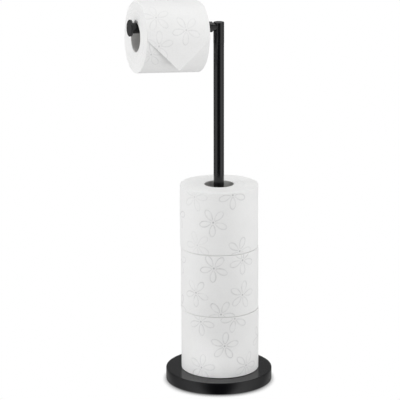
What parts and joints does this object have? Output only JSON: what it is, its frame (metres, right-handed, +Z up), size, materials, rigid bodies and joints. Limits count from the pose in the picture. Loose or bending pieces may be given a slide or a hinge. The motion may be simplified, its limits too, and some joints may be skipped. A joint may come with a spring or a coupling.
{
  "type": "toilet paper holder",
  "caption": "Free-standing black metal toilet paper holder: weighted round base, pole for spare rolls, and a turning head with a side arm that carries the roll in use.",
  "frame": {"origin": "centre of the base's underside, where it meets the floor", "axes": "+Z up along the pole, -X along the arm, +Y to the back"},
  "size_m": [0.2245, 0.165, 0.6009],
  "materials": {
    "black_coat": "satin powder coat",
    "cast_iron": "rough cast",
    "plated_steel": "zinc plated",
    "pad_rubber": "matte",
    "nylon": "moulded",
    "cardboard": "grey-brown spiral-wound board",
    "tissue": "soft embossed tissue"
  },
  "bodies": {
    "base": {"base_cover": "black_coat", "base_weight": "cast_iron", "base_bolt": "plated_steel", "non_slip_pad": "pad_rubber", "pole_tube": "black_coat", "pole_foot_plug": "plated_steel", "pole_top_bush": "plated_steel"},
    "swivel_sleeve": {"swivel_sleeve": "nylon"},
    "head": {"head_tube": "black_coat", "head_cap": "black_coat", "head_spigot": "plated_steel", "spigot_clip": "plated_steel", "arm_neck": "black_coat", "arm_root_plug": "plated_steel", "arm_tube": "black_coat", "arm_end_plug": "plated_steel", "arm_end_disc": "black_coat"},
    "hung_roll": {"hung_roll_core": "cardboard", "hung_roll_paper": "tissue", "hung_roll_loose_sheet": "tissue"},
    "spare_roll_bottom": {"spare_roll_bottom_core": "cardboard", "spare_roll_bottom_paper": "tissue"},
    "spare_roll_middle": {"spare_roll_middle_core": "cardboard", "spare_roll_middle_paper": "tissue"},
    "spare_roll_top": {"spare_roll_top_core": "cardboard", "spare_roll_top_paper": "tissue"}
  },
  "joints": [
    {"name": "head_lift", "type": "slide", "parent": "base", "child": "swivel_sleeve", "axis": [0, 0, 1], "range_m": [0, 0.045]},
    {"name": "head_swivel", "type": "hinge", "parent": "swivel_sleeve", "child": "head", "pos_m": [0, 0, 0.5303], "axis": [0, 0, 1], "continuous": true},
    {"name": "roll_spin", "type": "hinge", "parent": "head", "child": "hung_roll", "pos_m": [-0.08264, 0, 0.54534], "axis": [-0.999, 0, 0.0454], "continuous": true},
    {"name": "bottom_roll_lift", "type": "slide", "parent": "base", "child": "spare_roll_bottom", "axis": [0, 0, 1], "range_m": [0, 0.055]},
    {"name": "middle_roll_lift", "type": "slide", "parent": "spare_roll_bottom", "child": "spare_roll_middle", "axis": [0, 0, 1], "range_m": [0, 0.055]},
    {"name": "top_roll_lift", "type": "slide", "parent": "spare_roll_middle", "child": "spare_roll_top", "axis": [0, 0, 1], "range_m": [0, 0.055]}
  ]
}
